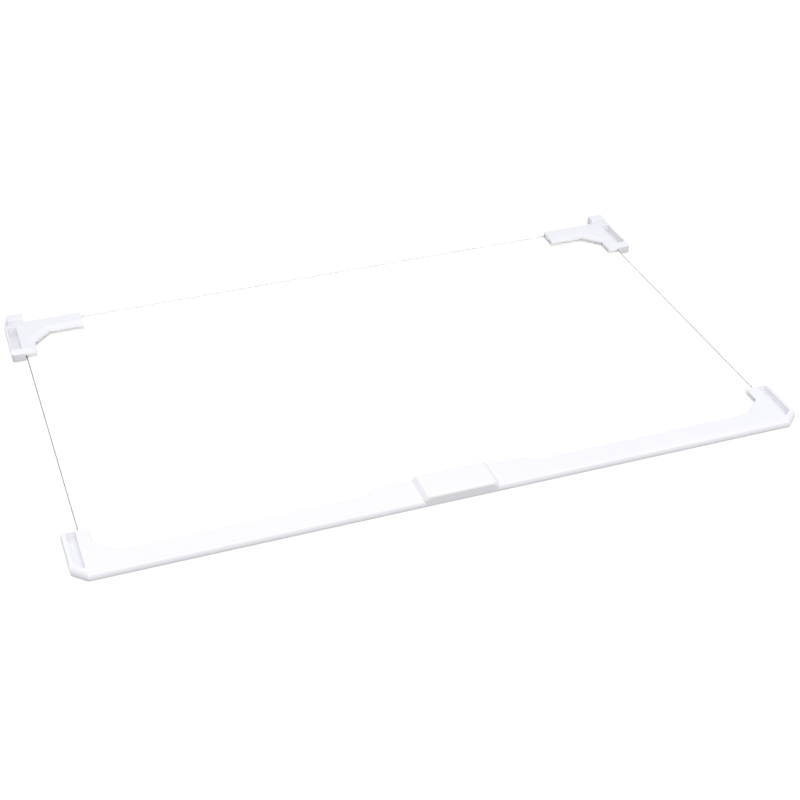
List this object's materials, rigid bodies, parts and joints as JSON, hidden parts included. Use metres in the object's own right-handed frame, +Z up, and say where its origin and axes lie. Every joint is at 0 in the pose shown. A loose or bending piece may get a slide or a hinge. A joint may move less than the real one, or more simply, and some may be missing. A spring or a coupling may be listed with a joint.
{
  "type": "refrigerator shelf",
  "caption": "Flat refrigerator shelf: a clear tempered glass plate with a white moulded front trim and white moulded corner clips at the rear.",
  "frame": {"origin": "centre of the bounding box in plan, on the plane of the underside", "axes": "+X to the right along the front trim, +Y from the front trim to the rear clips, +Z up out of the glass"},
  "size_m": [0.4974, 0.3096, 0.0111],
  "materials": {
    "clear_glass": "polished faces, ground edges",
    "white_plastic": "smooth moulded white with a soft gloss"
  },
  "bodies": {
    "root": {"glass_plate": "clear_glass", "front_trim": "white_plastic", "rear_clip_left": "white_plastic", "rear_clip_right": "white_plastic"}
  },
  "joints": []
}
